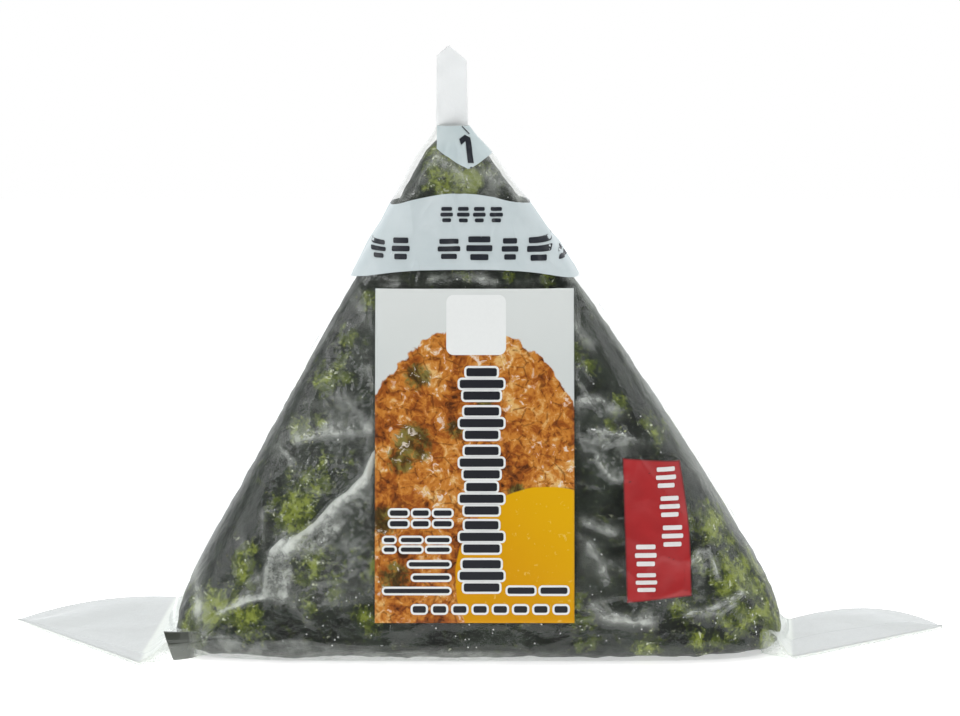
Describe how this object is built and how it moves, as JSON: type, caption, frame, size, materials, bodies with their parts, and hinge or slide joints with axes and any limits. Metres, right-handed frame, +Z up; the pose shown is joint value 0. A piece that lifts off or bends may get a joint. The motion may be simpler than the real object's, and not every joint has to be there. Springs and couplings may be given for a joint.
{
  "type": "film-wrapped onigiri rice ball pack",
  "caption": "Triangular rice ball in seaweed, shut in a clear film wrapper with a pull tab, pressed film ears at the lower corners and a paper label on the front.",
  "frame": {"origin": "middle of the pack's length and depth, on the surface that it stands on", "axes": "+X along the length from one film ear's tip to the other's, +Y from the labelled front to the back, +Z up to the pull tab"},
  "size_m": [0.1441, 0.0404, 0.0907],
  "materials": {
    "clear_film": "thin clear wrinkled film over dark green seaweed, glossy",
    "label_paper": "coated paper label, printed in orange-brown, yellow and light grey, satin",
    "seaweed": "seasoned dried seaweed sheet, dark green with olive patches, oily",
    "film_print": "opaque pale blue-grey and red print on the film",
    "salt": "fine white grains"
  },
  "bodies": {
    "root": {"film_pack": "clear_film", "front_label": "label_paper"}
  },
  "joints": []
}
